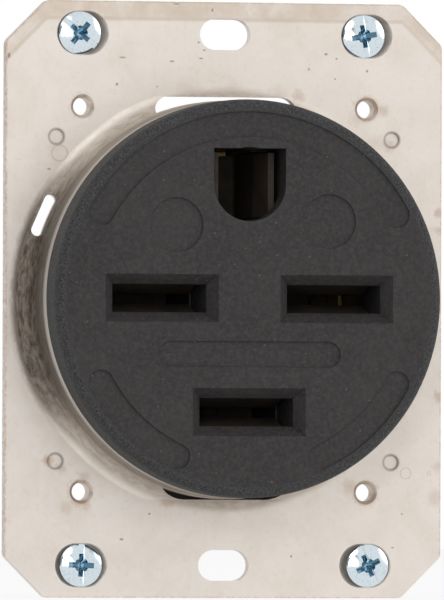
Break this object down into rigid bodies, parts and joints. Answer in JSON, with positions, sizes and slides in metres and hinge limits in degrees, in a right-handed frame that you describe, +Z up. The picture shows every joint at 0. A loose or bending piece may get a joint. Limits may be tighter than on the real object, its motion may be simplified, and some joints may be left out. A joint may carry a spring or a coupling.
{
  "type": "flush-mount power receptacle",
  "caption": "Round-faced flush power receptacle on a flat plated steel strap, with line blade slots, a U-shaped ground slot and loose box screws.",
  "frame": {"origin": "centre of the strap on its rear plane, midway between the wall plate's tapped holes", "axes": "+Z up along the strap's length, +X to the right seen from the front, -Y out of the face"},
  "size_m": [0.0706, 0.0428, 0.0936],
  "materials": {
    "plated_strap": "dull nickel plate with light stains",
    "face_moulding": "matt charcoal phenolic moulding",
    "housing_moulding": "matt black moulding",
    "contact_brass": "plain rolled brass",
    "terminal_brass": "plain rolled brass",
    "lug_brass": "plain brass",
    "brass_rivet": "plain brass",
    "spring_steel": "tempered strip",
    "plate_steel": "zinc plated",
    "terminal_screw": "brass",
    "green_screw": "green dyed zinc plate",
    "assembly_screw": "bright zinc plate",
    "zinc_screw": "bright bluish zinc plate",
    "fibre_washer": "red vulcanised fibre"
  },
  "bodies": {
    "root": {"assembly_screw_lower_left": "assembly_screw", "assembly_screw_lower_right": "assembly_screw", "assembly_screw_upper_left": "assembly_screw", "assembly_screw_upper_right": "assembly_screw", "box_screw_lower_left": "zinc_screw", "box_screw_lower_right": "zinc_screw", "box_screw_upper_left": "zinc_screw", "box_screw_upper_right": "zinc_screw", "contact_bottom": "contact_brass", "contact_ground": "contact_brass", "contact_left": "contact_brass", "contact_right": "contact_brass", "contact_rivet_bottom": "brass_rivet", "contact_rivet_ground": "brass_rivet", "contact_rivet_left": "brass_rivet", "contact_rivet_right": "brass_rivet", "contact_spring_bottom": "spring_steel", "contact_spring_ground": "spring_steel", "contact_spring_left": "spring_steel", "contact_spring_right": "spring_steel", "front_face": "face_moulding", "ground_strip": "terminal_brass", "pressure_plate_bottom": "plate_steel", "pressure_plate_ground": "plate_steel", "pressure_plate_left": "plate_steel", "pressure_plate_right": "plate_steel", "rear_housing": "housing_moulding", "screw_washer_lower_left": "fibre_washer", "screw_washer_lower_right": "fibre_washer", "screw_washer_upper_left": "fibre_washer", "screw_washer_upper_right": "fibre_washer", "strap": "plated_strap", "terminal_lug_bottom": "lug_brass", "terminal_lug_ground": "lug_brass", "terminal_lug_left": "lug_brass", "terminal_lug_right": "lug_brass", "terminal_plate_bottom": "terminal_brass", "terminal_plate_left": "terminal_brass", "terminal_plate_right": "terminal_brass", "terminal_screw_bottom": "terminal_screw", "terminal_screw_ground": "green_screw", "terminal_screw_left": "terminal_screw", "terminal_screw_right": "terminal_screw"}
  },
  "joints": []
}
